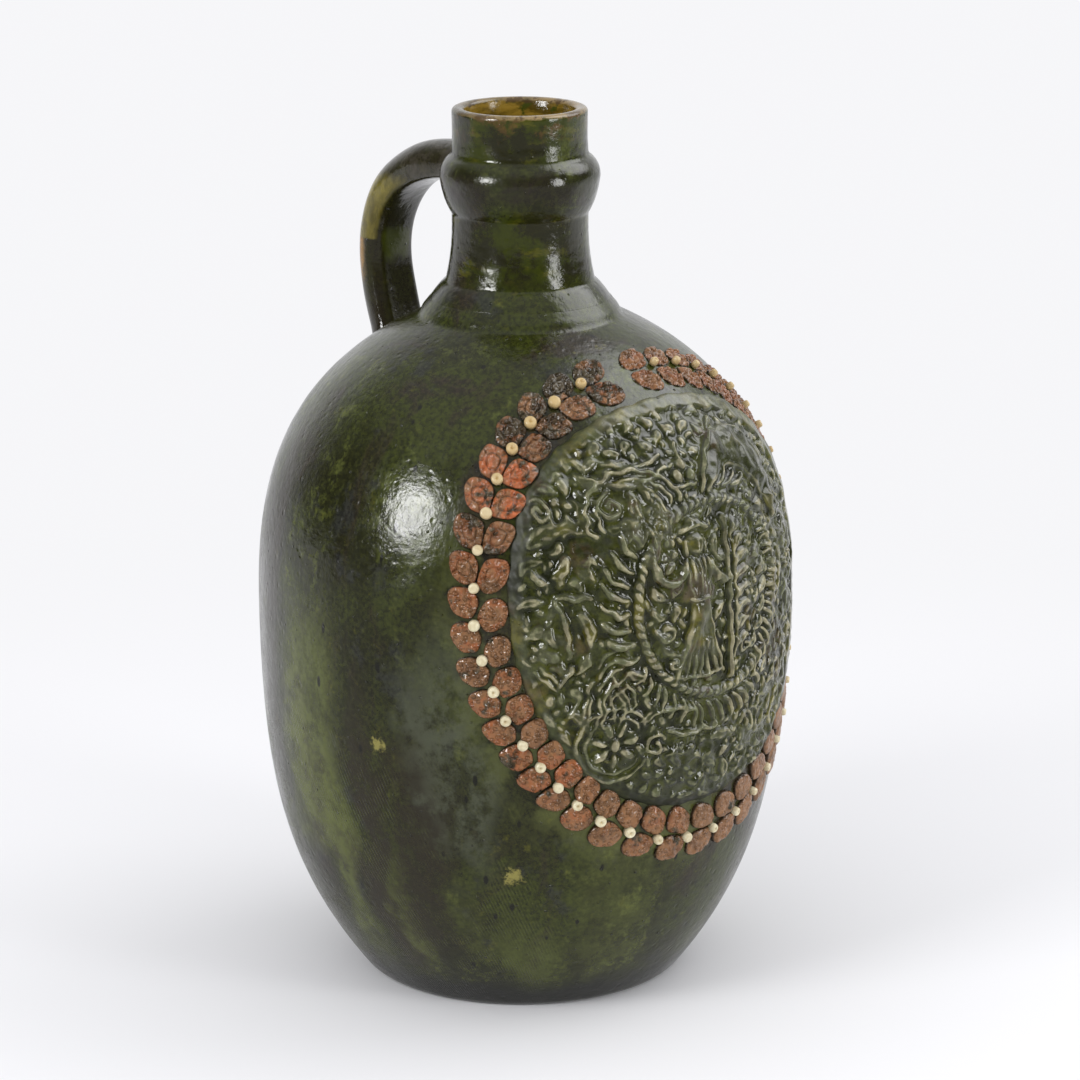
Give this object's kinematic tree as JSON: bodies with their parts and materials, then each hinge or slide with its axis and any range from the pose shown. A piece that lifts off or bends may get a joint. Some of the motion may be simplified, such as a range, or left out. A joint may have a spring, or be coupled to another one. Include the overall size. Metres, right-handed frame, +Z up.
{
  "type": "narrow-necked bottle",
  "caption": "Egg-shaped glazed earthenware bottle with a ringed narrow neck, one strap handle and a relief roundel inside a wreath of terracotta petals and cream beads.",
  "frame": {"origin": "centre of the flat base, on the surface that the bottle stands on", "axes": "+Z up through the mouth, -Y out of the front roundel, +Y towards the handle"},
  "size_m": [0.1874, 0.1909, 0.31],
  "materials": {
    "green_glaze": "glossy lead glaze, dark green with brown and olive runs",
    "relief_glaze": "glossy green glaze, dark where it pools and pale on the ridges",
    "terracotta": "fired red clay with a thin worn glaze",
    "cream_slip": "cream clay beads"
  },
  "bodies": {
    "root": {"belly": "green_glaze", "neck": "green_glaze", "handle": "green_glaze", "roundel": "relief_glaze", "rope_ring": "relief_glaze", "robed_figure": "relief_glaze", "blossom": "relief_glaze", "wing_leaf": "relief_glaze", "plume_left": "relief_glaze", "plume_right": "relief_glaze", "leaf_fan": "relief_glaze", "frond_1": "relief_glaze", "frond_2": "relief_glaze", "frond_3": "relief_glaze", "frond_4": "relief_glaze", "frond_5": "relief_glaze", "frond_6": "relief_glaze", "frond_7": "relief_glaze", "wreath_pair_01": "terracotta", "wreath_pair_02": "terracotta", "wreath_pair_03": "terracotta", "wreath_pair_04": "terracotta", "wreath_pair_05": "terracotta", "wreath_pair_06": "terracotta", "wreath_pair_07": "terracotta", "wreath_pair_08": "terracotta", "wreath_pair_09": "terracotta", "wreath_pair_10": "terracotta", "wreath_pair_11": "terracotta", "wreath_pair_12": "terracotta", "wreath_pair_13": "terracotta", "wreath_pair_14": "terracotta", "wreath_pair_15": "terracotta", "wreath_pair_16": "terracotta", "wreath_pair_17": "terracotta", "wreath_pair_18": "terracotta", "wreath_pair_19": "terracotta", "wreath_pair_20": "terracotta", "wreath_pair_21": "terracotta", "wreath_pair_22": "terracotta", "wreath_pair_23": "terracotta", "wreath_pair_24": "terracotta", "wreath_pair_25": "terracotta", "wreath_pair_26": "terracotta", "wreath_pair_27": "terracotta", "wreath_pair_28": "terracotta", "wreath_pair_29": "terracotta", "wreath_pair_30": "terracotta", "wreath_pair_31": "terracotta", "wreath_pair_32": "terracotta", "wreath_pair_33": "terracotta", "wreath_pair_34": "terracotta", "wreath_pair_35": "terracotta", "wreath_pair_36": "terracotta", "wreath_pair_37": "terracotta", "wreath_pair_38": "terracotta", "wreath_pair_39": "terracotta", "wreath_pair_40": "terracotta", "wreath_pair_41": "terracotta", "wreath_pair_42": "terracotta"}
  },
  "joints": []
}
